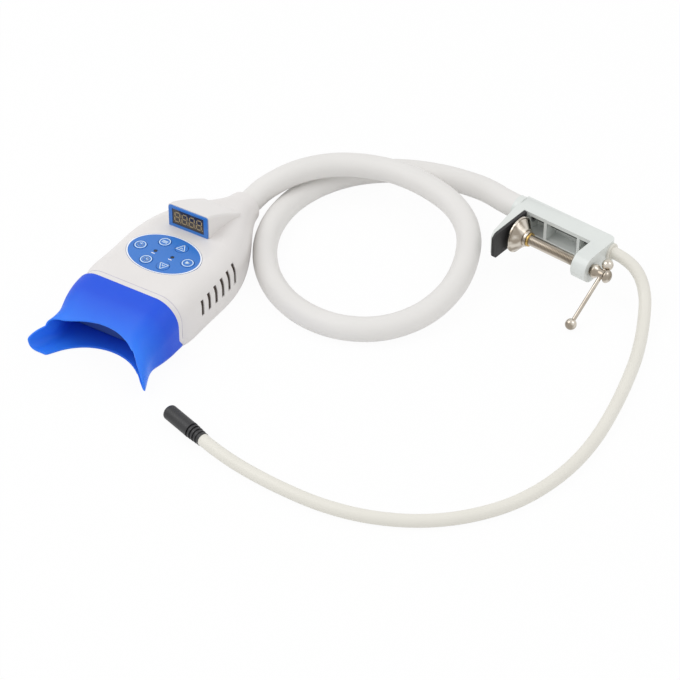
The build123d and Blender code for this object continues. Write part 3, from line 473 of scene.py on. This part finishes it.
def armPieces():
    points = [Vector(p) * mm for p in gooseneck["route"]]
    points += [headPlace @ (Vector(gooseneck[k]) * mm) for k in ("neckTip", "neckEnd")]
    curve = routeLine(points, "armLine")
    line = bpy.data.objects.new("armLine", curve)
    centre = bpy.data.meshes.new_from_object(line)
    places = [v.co.copy() for v in centre.vertices]
    curve.bevel_depth = gooseneck["diameter"] / 2
    curve.bevel_resolution = tubeSmoothness
    tube = bpy.data.meshes.new_from_object(line)
    sides = len(tube.vertices) // len(places)

    def ringAt(run):
        middle = (points[run] + points[run + 1]) / 2
        return min(range(len(places)), key=lambda i: (places[i] - middle).length)

    last = len(points) - 1
    cutRuns = (gooseneck["baseRuns"], *[last - back for back in gooseneck["neckRunsBack"]])
    cuts = [0, *[ringAt(run) for run in cutRuns], len(places) - 1]
    stretches = [
        ("armBaseFlex", "base_flex", "clamp", "arm"),
        ("armSleeve", "arm_sleeve", "arm", None),
        ("armPanFlex", "pan_flex", "arm", "neck"),
        ("armNeckLink", "neck_link", "neck", None),
        ("armTiltFlex", "tilt_flex", "neck", "head"),
    ]
    for (name, node, body, nextBody), first, end in zip(stretches, cuts, cuts[1:]):
        bm = bmesh.new()
        bm.from_mesh(tube)
        bm.verts.ensure_lookup_table()
        extra = [v for v in bm.verts if not first <= v.index // sides <= end]
        bmesh.ops.delete(bm, geom=extra, context="VERTS")
        rims = [e for e in bm.edges if e.is_boundary]
        bmesh.ops.holes_fill(bm, edges=rims, sides=0)
        mesh = meshFrom(bm, name, sharpAngle=60)
        obj = addPiece(name, mesh, None if nextBody else body, "sleeve")
        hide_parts(node)
        if nextBody:
            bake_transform(obj)
    bpy.data.objects.remove(line)


armPieces()
print("gooseneck arm made")

# mouth shield: soft cup with two wings, drawn ring by ring from its rim to its lip

mouthShield = {
    "wall": 2.4 * mm,
    # place, half width, base, top, top corner, base corner, all in millimetres
    "sections": [
        (-39.8, 43.1, 0.4, 41.1, 18.6, 5.5), (-45.0, 43.1, 0.4, 41.1, 18.6, 5.5),
        (-53.5, 43.1, 0.4, 40.0, 18.6, 5.5), (-62.0, 42.4, 0.4, 37.3, 18.6, 5.5),
        (-71.0, 40.8, 0.4, 32.7, 18.0, 5.5), (-75.0, 40.8, 0.4, 30.7, 17.4, 5.5),
        (-81.0, 42.5, 0.4, 27.4, 16.0, 6.0), (-90.0, 46.9, 0.4, 21.6, 12.0, 7.0),
        (-100.5, 52.2, 0.4, 16.6, 8.3, 7.8),
    ],
    # rim's place, tabs' back, heights where the tabs start and end
    "rim": (-45.0, -39.8, 11.0, 1.4),
    "lipBase": (-70.0, 40.0),            # middle of the lower lip edge, its curve's radius
    "lipTop": (-77.0, 45.0),             # the same at lipHeight
    "lipHeight": 30.0,
    "lipSide": 4.5,                      # the mouth edge lies this far to one side
    "lipReach": 0.97,                    # the curve is followed over this share of its radius
    # left lobe: front, half width and rounding seen from above; upper edge;
    # rounded end seen from the side, as place, length and height
    "lobe": (-98.2, 53.8, 8.5),
    "lobeTop": 14.5,
    "lobeRound": (-84.0, 13.4, 4.5),
    # right lobe's tip: place, half width, slant and lean; the slant's start from the middle
    "tip": (-95.0, 48.9, 0.80, 0.14),
    "tipRoot": 31.0,
    "beyond": -200.0,                    # further forward than any silicone
    "tipBlend": 3.0,                     # the lip runs into the tip and the lobe over these lengths
    "lobeBlend": 9.0,
    "step": 0.1,                         # the edge is searched for in steps this long
    "around": 232,                       # points round a ring, rings from rim to lip
    "along": 34,
    "lowShare": 0.25,                    # share of a ring's points that lie below the lobe's top
    "thinFrom": -58.0,                   # forward of here, over this length, the painted light through the silicone grows and the wall thins
    "thinOver": 26.0,
    "thinBy": 0.5,                       # by this share
    "lipRounding": 0.5 * mm,
}


def shieldSection(y):
    # half width, base, top and corner radii at this place, eased from row to row
    rows = mouthShield["sections"]
    y = max(min(y, rows[0][0]), rows[-1][0])
    i = next(i for i in range(len(rows) - 1) if y >= rows[i + 1][0])
    before, after = rows[i], rows[i + 1]
    span = after[0] - before[0]
    t = (y - before[0]) / span

    def slopeAt(k, column):
        if k < 2:
            return 0.0
        a, b = rows[k - 1], rows[min(k + 1, len(rows) - 1)]
        return (b[column] - a[column]) / (b[0] - a[0])

    out = []
    for column in range(1, len(before)):
        first, last = before[column], after[column]
        leave = slopeAt(i, column) * span
        arrive = slopeAt(i + 1, column) * span
        out.append((2 * t ** 3 - 3 * t ** 2 + 1) * first + (t ** 3 - 2 * t ** 2 + t) * leave
                   + (3 * t ** 2 - 2 * t ** 3) * last + (t ** 3 - t ** 2) * arrive)
    return out


def shieldPoint(y, share):
    # a point on the shield's outline, from the middle of its base round by its right side
    half, low, high, topCorner, baseCorner = shieldSection(y)
    flat = math.pi / 2
    # straight legs by their ends, rounded ones by centre, radius and first angle
    legs = [
        ((0, low), (half - baseCorner, low)),
        ((half - baseCorner, low + baseCorner), baseCorner, -flat),
        ((half, low + baseCorner), (half, high - topCorner)),
        ((half - topCorner, high - topCorner), topCorner, 0.0),
        ((half - topCorner, high), (0, high)),
    ]
    lengths = [math.dist(*leg) if len(leg) == 2 else leg[1] * flat for leg in legs]
    # the points below the lobe's top keep their heights from rim to lip
    over = mouthShield["lobeTop"] - (high - topCorner)
    below = lengths[0] + lengths[1] + mouthShield["lobeTop"] - low - baseCorner
    if over > 0:
        below = sum(lengths[:3]) + topCorner * math.asin(over / topCorner)
    mirrored = share > 0.5
    part = 1 - share if mirrored else share
    lowShare = mouthShield["lowShare"]
    if part < lowShare:
        left = part / lowShare * below
    else:
        left = below + (part - lowShare) / (0.5 - lowShare) * (sum(lengths) - below)
    x, z = 0, high
    for leg, length in zip(legs, lengths):
        if left <= length:
            done = left / length
            if len(leg) == 2:
                x, z = [a + (b - a) * done for a, b in zip(*leg)]
            else:
                centre, radius, first = leg
                angle = first + flat * done
                x, z = centre[0] + radius * math.cos(angle), centre[1] + radius * math.sin(angle)
            break
        left -= length
    return (-x, z) if mirrored else (x, z)


def shieldRim(z):
    rim, back, high, low = mouthShield["rim"]
    return rim + (back - rim) * max(0.0, min(1.0, (high - z) / (high - low)))


def roundMax(a, b, soft):
    # the larger of two, with the corner between them rounded
    h = max(0.0, soft - abs(a - b)) / soft
    return max(a, b) + h * h * soft / 4


def shieldFront(x, z):
    # how far forward the silicone reaches at this place
    s = mouthShield
    share = z / s["lipHeight"]
    middle, radius = [a + (b - a) * share for a, b in zip(s["lipBase"], s["lipTop"])]
    reach = min(abs(x - s["lipSide"]), radius * s["lipReach"])
    lip = middle - radius + math.sqrt(radius * radius - reach * reach)
    if x > 0:
        place, half, slant, lean = s["tip"]
        tip = place - lean * z + slant * (half - x) if x > s["tipRoot"] else s["beyond"]
        return roundMax(lip, tip, s["tipBlend"])
    front, half, corner = s["lobe"]
    out = max(0.0, min(corner, -x - half + corner))
    lobe = front + corner - math.sqrt(corner * corner - out * out)
    place, length, height = s["lobeRound"]
    if z > height:
        rise = min(1.0, (z - height) / (s["lobeTop"] - height))
        lobe = max(lobe, place - length * math.sqrt(1 - rise * rise))
    return roundMax(lip, lobe, s["lobeBlend"])


def shieldEdge(share):
    # walk forward along the skin until it ends
    y = mouthShield["rim"][0]
    end = mouthShield["sections"][-1][0]
    while y > end and y > shieldFront(*shieldPoint(y, share)):
        y -= mouthShield["step"]
    return y


def makeMouthShield():
    s = mouthShield
    around, along = s["around"], s["along"]
    shares = [i / around for i in range(around)]
    rims = [shieldRim(shieldPoint(s["rim"][0], share)[1]) for share in shares]
    edges = [shieldEdge(share) for share in shares]
    bm = bmesh.new()
    thinnessAndLightThrough = bm.verts.layers.float.new("thinnessAndLightThrough")
    loops = []
    for j in range(along + 1):
        circle = bmesh.ops.create_circle(bm, segments=around, radius=1.0)["verts"]
        for vert, share, rim, edge in zip(circle, shares, rims, edges):
            y = rim + (edge - rim) * (j / along)
            x, z = shieldPoint(y, share)
            vert.co = (x, y, z)
            vert[thinnessAndLightThrough] = max(0.0, min(1.0, (s["thinFrom"] - y) / s["thinOver"]))
        loops.append({edge for vert in circle for edge in vert.link_edges})
    for first, second in zip(loops, loops[1:]):
        bmesh.ops.bridge_loops(bm, edges=list(first | second))
    bmesh.ops.scale(bm, vec=(mm, mm, mm), verts=bm.verts)
    mesh = meshFrom(bm, "mouthShieldSilicone", headPlace, sharpAngle=80)
    obj = addPiece("mouthShieldSilicone", mesh, "shield", "silicone")
    wall = addWall(obj, s["wall"], -1.0)
    wall.use_even_offset = True
    group = obj.vertex_groups.new(name="wall")
    for i, thin in enumerate(mesh.attributes["thinnessAndLightThrough"].data):
        group.add([i], 1.0 - s["thinBy"] * thin.value, "REPLACE")
    wall.vertex_group = "wall"
    addRounding(obj, "rounding", s["lipRounding"], 2, 60)
    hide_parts("mouth_shield")


makeMouthShield()
print("mouth shield made")

# printed key panel: thin raised lines on the keys, and round the oval a white ring that is a painted
# highlight on its rim

keyPanel = {
    "top": 40.0,
    "lineHeight": 0.06,
    "lineWidth": 0.58,
    "markWidth": 0.9,                    # the symbols' lines against the rings' lines
    "keyTop": 40.3,
    "keyRing": 4.15,
    "oval": (29.0, 21.2),
    "rimHighlightInner": 0.962,                # inner edge of the white ring, a painted highlight on the oval's rim, as a share of the oval
    "lampMarks": [[(-8.4, -3.1), (-6.2, -3.1)], [(6.0, -3.1), (8.2, -3.1)]],
    "lampMarkWidth": 0.7,
    "places": {
        "key_power": (-20.2, 0.0), "key_start": (20.2, 0.0), "key_mode": (-7.2, 11.7),
        "key_timer": (-7.2, -11.7), "key_up": (7.2, 11.7), "key_down": (7.2, -11.7),
    },
}


def flatRing(bm, centre, outer, inner, z, height, sides=48, stretch=(1, 1)):
    made = bmesh.ops.create_circle(bm, segments=sides, radius=outer, cap_ends=True)
    face = made["verts"][0].link_faces[0]
    verts = list(face.verts)
    bmesh.ops.inset_individual(bm, faces=[face], thickness=outer - inner, use_even_offset=True)
    ringVerts = set(verts) | set(face.verts)
    bmesh.ops.delete(bm, geom=[face], context="FACES_ONLY")
    faces = list({f for v in ringVerts for f in v.link_faces})
    lifted = bmesh.ops.extrude_face_region(bm, geom=faces)["geom"]
    raised = [g for g in lifted if isinstance(g, bmesh.types.BMVert)]
    bmesh.ops.translate(bm, verts=raised, vec=(0, 0, height))
    whole = list(set(raised) | {v for f in faces for v in f.verts})
    bmesh.ops.scale(bm, vec=(*stretch, 1), verts=whole)
    bmesh.ops.translate(bm, verts=whole, vec=(*centre, z))


def strokes(bm, lines, z, width, height):
    # each line is a run of flat bars that lap over each other at the corners
    lap = 0.9
    for points in lines:
        for a, b in zip(points, points[1:]):
            a, b = Vector((*a, 0)), Vector((*b, 0))
            along = b - a
            made = bmesh.ops.create_cube(bm, size=1.0)["verts"]
            turn = Matrix.Rotation(math.atan2(along.y, along.x), 4, "Z")
            size = Matrix.Diagonal((along.length + width * lap, width, height, 1))
            place = Matrix.Translation((a + b) / 2 + Vector((0, 0, z + height / 2)))
            bmesh.ops.transform(bm, matrix=place @ turn @ size, verts=made)


def arcPoints(radius, start, end, steps=14, centre=(0, 0)):
    out = []
    for i in range(steps + 1):
        angle = math.radians(start + (end - start) * i / steps)
        out.append((centre[0] + radius * math.cos(angle), centre[1] + radius * math.sin(angle)))
    return out


keyMarks = {
    "key_power": [arcPoints(1.9, -235, 55), [(0, 0.6), (0, 2.3)]],
    "key_start": [[(-1.3, -1.2), (-1.3, 1.2), (1.5, 0), (-1.3, -1.2)],
                  [(-0.8, 0.4), (0.6, 0)], [(-0.8, -0.4), (0.6, 0)]],
    "key_mode": [[(-2.0, 1.0), (2.0, 1.0)], [(-2.0, 0.0), (2.0, 0.0)], [(-2.0, -1.0), (2.0, -1.0)]],
    "key_timer": [arcPoints(2.1, 0, 360, 20), [(0, 1.4), (0, 0), (1.1, 0)]],
    "key_up": [[(-3.5, -2.2), (3.5, -2.2), (0, 4.0), (-3.5, -2.2)],
               [(-0.9, -0.7), (0, 0.6), (0.9, -0.7)]],
    "key_down": [[(-3.5, 2.2), (3.5, 2.2), (0, -4.0), (-3.5, 2.2)],
                 [(-0.9, 0.7), (0, -0.6), (0.9, 0.7)]],
}


def makeKeyPrints():
    k = keyPanel
    height, width = k["lineHeight"], k["lineWidth"]
    for key, (x, y) in k["places"].items():
        bm = bmesh.new()
        if key not in ("key_up", "key_down"):
            flatRing(bm, (x, y), k["keyRing"], k["keyRing"] - width, k["keyTop"], height)
        marks = [[(x + px, y + py) for px, py in line] for line in keyMarks[key]]
        strokes(bm, marks, k["keyTop"], width * k["markWidth"], height)
        mesh = meshFrom(bm, key + "Print", headPlaceInMm, sharpAngle=20)
        addPiece(key + "Print", mesh, key, "print")
    bm = bmesh.new()
    # painted highlight: a white ring on the oval's rim; the lamp marks beside it are print
    flatRing(bm, (0, 0), 1.0, k["rimHighlightInner"], k["top"], height, 96, k["oval"])
    strokes(bm, k["lampMarks"], k["top"], k["lampMarkWidth"], height)
    mesh = meshFrom(bm, "panelRimHighlightAndMarks", headPlaceInMm, sharpAngle=20)
    addPiece("panelRimHighlightAndMarks", mesh, "head", "whitePrintAndRimHighlight")


makeKeyPrints()
print("key prints made")

# four-digit display behind its smoked window

display = {
    "front": 30.66,
    "middleHeight": 49.15,
    "digits": 4,
    "digitWide": 4.1,
    "digitTall": 8.0,
    "digitPitch": 6.2,
    "bar": 0.85,
    "barGap": 0.62,                      # bars stop this share of their width short of the corners
    "pointGap": 1.1,
    "lean": 0.10,
    "thick": 0.05,
}


def makeDigits():
    bm = bmesh.new()
    d = display
    w, h, bar = d["digitWide"] / 2, d["digitTall"] / 2, d["bar"]
    gap = bar * d["barGap"]
    across = [(-w + gap, w - gap, z) for z in (-h, 0, h)]
    upright = [(x, z + gap, z + h - gap) for x in (-w, w) for z in (-h, 0)]
    boxes = [((a + b) / 2, z, b - a, bar) for a, b, z in across]
    boxes += [(x, (a + b) / 2, bar, b - a) for x, a, b in upright]
    boxes.append((w + d["pointGap"], -h, bar, bar))
    for i in range(d["digits"]):
        shift = (i - (d["digits"] - 1) / 2) * d["digitPitch"]
        for x, z, wide, tall in boxes:
            made = bmesh.ops.create_cube(bm, size=1.0)["verts"]
            size = Matrix.Diagonal((wide, d["thick"], tall, 1))
            place = Matrix.Translation((shift + x + z * d["lean"], d["front"], d["middleHeight"] + z))
            bmesh.ops.transform(bm, matrix=place @ size, verts=made)
    mesh = meshFrom(bm, "displayDigits", headPlaceInMm, sharpAngle=20)
    addPiece("displayDigits", mesh, "head", "segment")


makeDigits()
print("display digits made")

# painted shade: a dark strip in each vent slot, a little below the skin, stands in for the shade inside
# the vents

paintedVentShade = {
    # each slot: its place along the head and the half width of the skin there, in millimetres
    "slots": [(-16.5, 43.7), (-8.2, 43.9), (0.1, 44.0), (8.4, 44.0), (16.7, 43.6), (25.0, 42.7)],
    "wide": 3.1,
    "low": 14.7,
    "tall": 12.9,
    "rise": 0.8,                         # each slot is this much taller than the one before
    "corner": 18.0,                      # the skin's top corner and the height where it starts
    "cornerHeight": 22.0,
    "deep": 1.1,
    "thick": 0.8,
    "steps": 8,
}


def makePaintedVentShades():
    bm = bmesh.new()
    v = paintedVentShade
    for side in (-1, 1):
        for i, (y, half) in enumerate(v["slots"]):
            points = []
            for k in range(v["steps"] + 1):
                z = v["low"] + (v["tall"] + v["rise"] * i) * k / v["steps"]
                over = max(0.0, z - v["cornerHeight"])
                x = half - v["corner"] + math.sqrt((v["corner"] - v["deep"]) ** 2 - over * over)
                points.append((side * x, y - v["wide"] / 2, z))
            addStrip(bm, points, v["wide"])
    mesh = meshFrom(bm, "paintedVentShades", headPlaceInMm, sharpAngle=30)
    obj = addPiece("paintedVentShades", mesh, "head", "ventPaintedShade")
    addWall(obj, v["thick"] * mm, 0.0)


makePaintedVentShades()
print("vent shades made")

# shaded line where the bezel meets the shells, over the top and down both sides

seamLine = {
    "place": -39.7,
    "wide": 0.42,
    "half": 42.0,
    "high": 40.0,
    "corner": 18.0,
    "foot": 9.0,
    "thick": 0.1,
}


def makeSeamLine():
    bm = bmesh.new()
    v = seamLine
    half, high, corner = v["half"], v["high"], v["corner"]
    line = [(half, v["foot"])] + arcPoints(corner, 0, 90, 14, (half - corner, high - corner))
    line += arcPoints(corner, 90, 180, 14, (corner - half, high - corner)) + [(-half, v["foot"])]
    addStrip(bm, [(x, v["place"] - v["wide"] / 2, z) for x, z in line], v["wide"])
    mesh = meshFrom(bm, "seamLine", headPlaceInMm, sharpAngle=30)
    obj = addPiece("seamLine", mesh, "head", "seam")
    addWall(obj, v["thick"] * mm, 0.0)


makeSeamLine()
print("seam line made")

# clamp screw: rolled thread, turned head with a groove

clampScrew = {
    "pitch": 1.25,
    "threadStart": 13.6,
    "threadEnd": 70.0,
    "stepsPerTurn": 24,
    # one turn of the thread: share of the pitch, radius
    "threadShape": [(0.0, 3.42), (0.12, 3.42), (0.45, 4.0), (0.62, 4.0), (1.0, 3.42)],
    # bar under the thread and turned head: place, radius
    "core": [(12.9, 0.0), (12.9, 3.1), (14.8, 3.1), (14.8, 3.37), (69.8, 3.37), (69.8, 0.0)],
    "headProfile": [
        (69.5, 0.0), (69.5, 4.6), (69.7, 5.0), (70.1, 5.2), (71.6, 5.2), (71.9, 5.05), (72.6, 4.6),
        (73.6, 4.0), (74.3, 3.62), (74.9, 3.5), (78.7, 3.5), (79.3, 3.72), (79.9, 4.3), (80.4, 4.8),
        (80.9, 4.9), (81.8, 4.72), (82.7, 4.12), (83.5, 3.1), (84.0, 1.9), (84.1, 1.4), (84.1, 0.0),
    ],
}


def spunAboutX(bm, profile, steps=48):
    verts, edges = profileLine(bm, [(x * mm, r * mm, 0) for x, r in profile])
    bmesh.ops.spin(bm, geom=verts + edges, cent=(0, 0, 0), axis=(1, 0, 0),
                   angle=math.tau, steps=steps, use_merge=True)


def makeClampScrew():
    s = clampScrew
    bm = bmesh.new()
    turns = (s["threadEnd"] - s["threadStart"]) / s["pitch"]
    steps = round(turns * s["stepsPerTurn"])
    first = s["threadStart"] - s["pitch"]
    profile = [((first + part * s["pitch"]) * mm, r * mm, 0) for part, r in s["threadShape"]]
    verts, edges = profileLine(bm, profile)
    bmesh.ops.spin(bm, geom=verts + edges, cent=(0, 0, 0), axis=(1, 0, 0),
                   dvec=(s["pitch"] * mm / s["stepsPerTurn"], 0, 0),
                   angle=math.tau * steps / s["stepsPerTurn"], steps=steps, use_merge=False)
    # join the turns, then close the thread's two ends
    bmesh.ops.remove_doubles(bm, verts=bm.verts, dist=1e-6)
    bmesh.ops.holes_fill(bm, edges=[e for e in bm.edges if e.is_boundary], sides=0)
    thread = meshFrom(bm, "clampScrewThread", sharpAngle=25)
    addPiece("clampScrewThread", thread, "screw", "nickel")
    bm = bmesh.new()
    spunAboutX(bm, s["headProfile"])
    spunAboutX(bm, s["core"])
    head = meshFrom(bm, "clampScrewHead", sharpAngle=30)
    obj = addPiece("clampScrewHead", head, "screw", "nickel")
    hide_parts("clamp_screw")


makeClampScrew()
print("clamp screw made")

# castings and mouldings: the model's own solid with its sharp edges softened

softened = {
    # piece: width of the softened edge, finish, slot
    "clamp_frame": (0.9, "casting", "casting"),
    "jaw_pad": (0.6, "blackRubber", "jaw_rubber"),
}


def makeSoftened():
    for node, (width, finish, slotName) in softened.items():
        bm = bmesh.new()
        bm.from_mesh(nodes[node].data)
        bmesh.ops.remove_doubles(bm, verts=bm.verts, dist=2e-6)
        bmesh.ops.dissolve_limit(bm, angle_limit=math.radians(1.0), verts=bm.verts, edges=bm.edges)
        name = node.replace("_", "") + "Soft"
        mesh = meshFrom(bm, name, sharpAngle=30)
        obj = addPiece(name, mesh, "clamp", finish)
        edge = addRounding(obj, "edges", width * mm, 3, 40)
        edge.harden_normals = True
        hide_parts(node)


makeSoftened()
print("edges softened")

# stage: pale floor, soft light

stage = {
    "floorSize": 12.0,
    "floorDrop": 0.2 * mm,               # the floor lies this far under the lowest pieces
    "floorColor": (0.90, 0.90, 0.90),
    "floorGlow": 0.95,
    "ambient": 0.77,
    "floorRoughness": 0.9,
    "aim": (-0.03, -0.12, 0.0),
    "lamps": [
        # place, width, watts
        ((-0.9, -0.9, 1.5), 1.3, 10.0),
        ((1.2, 0.5, 1.6), 1.2, 5.5),
    ],
}


def seenDirectly(tree):
    # 1 for rays from the camera, off gloss or through glass, otherwise 0
    path = tree.nodes.new("ShaderNodeLightPath")
    first = mathNode(tree, "MAXIMUM", path.outputs["Is Camera Ray"], path.outputs["Is Glossy Ray"])
    second = mathNode(tree, "MAXIMUM", first.outputs[0], path.outputs["Is Transmission Ray"])
    return second.outputs[0]


def makeFloor():
    bm = bmesh.new()
    bmesh.ops.create_grid(bm, x_segments=1, y_segments=1, size=stage["floorSize"] / 2)
    bmesh.ops.translate(bm, verts=bm.verts, vec=(0, 0, tableHeight - stage["floorDrop"]))
    mesh = bpy.data.meshes.new("floor")
    bm.to_mesh(mesh)
    bm.free()
    floor = bpy.data.objects.new("floor", mesh)
    bpy.context.scene.collection.objects.link(floor)
    mat = bpy.data.materials.new("floorPaper")
    mat.use_nodes = True
    tree = mat.node_tree
    shader = tree.nodes["Principled BSDF"]
    shader.inputs["Base Color"].default_value = (*stage["floorColor"], 1)
    shader.inputs["Roughness"].default_value = stage["floorRoughness"]
    shader.inputs["Specular IOR Level"].default_value = 0.0
    glow = tree.nodes.new("ShaderNodeEmission")
    mixer = tree.nodes.new("ShaderNodeMixShader")
    share = mathNode(tree, "MULTIPLY", seenDirectly(tree), stage["floorGlow"])
    tree.links.new(share.outputs[0], mixer.inputs["Fac"])
    tree.links.new(shader.outputs["BSDF"], mixer.inputs[1])
    tree.links.new(glow.outputs["Emission"], mixer.inputs[2])
    tree.links.new(mixer.outputs["Shader"], tree.nodes["Material Output"].inputs["Surface"])
    mesh.materials.append(mat)


def makeWorld():
    world = bpy.data.worlds.new("studio")
    bpy.context.scene.world = world
    world.use_nodes = True
    tree = world.node_tree
    ambient = tree.nodes["Background"]
    ambient.inputs["Color"].default_value = (1, 1, 1, 1)
    ambient.inputs["Strength"].default_value = stage["ambient"]
    backdrop = tree.nodes.new("ShaderNodeBackground")
    backdrop.inputs["Color"].default_value = (1, 1, 1, 1)
    mixer = tree.nodes.new("ShaderNodeMixShader")
    tree.links.new(seenDirectly(tree), mixer.inputs["Fac"])
    tree.links.new(ambient.outputs["Background"], mixer.inputs[1])
    tree.links.new(backdrop.outputs["Background"], mixer.inputs[2])
    tree.links.new(mixer.outputs["Shader"], tree.nodes["World Output"].inputs["Surface"])


def makeLamps():
    for i, (place, width, watts) in enumerate(stage["lamps"]):
        data = bpy.data.lights.new(f"softLamp{i}", "AREA")
        data.shape = "SQUARE"
        data.size = width
        data.energy = watts
        lamp = bpy.data.objects.new(f"softLamp{i}", data)
        bpy.context.scene.collection.objects.link(lamp)
        lamp.location = place
        lamp.rotation_euler = (Vector(stage["aim"]) - Vector(place)).to_track_quat("-Z", "Y").to_euler()


makeFloor()
makeWorld()
makeLamps()
print("stage lit")

bpy.context.scene.view_settings.view_transform = "Standard"
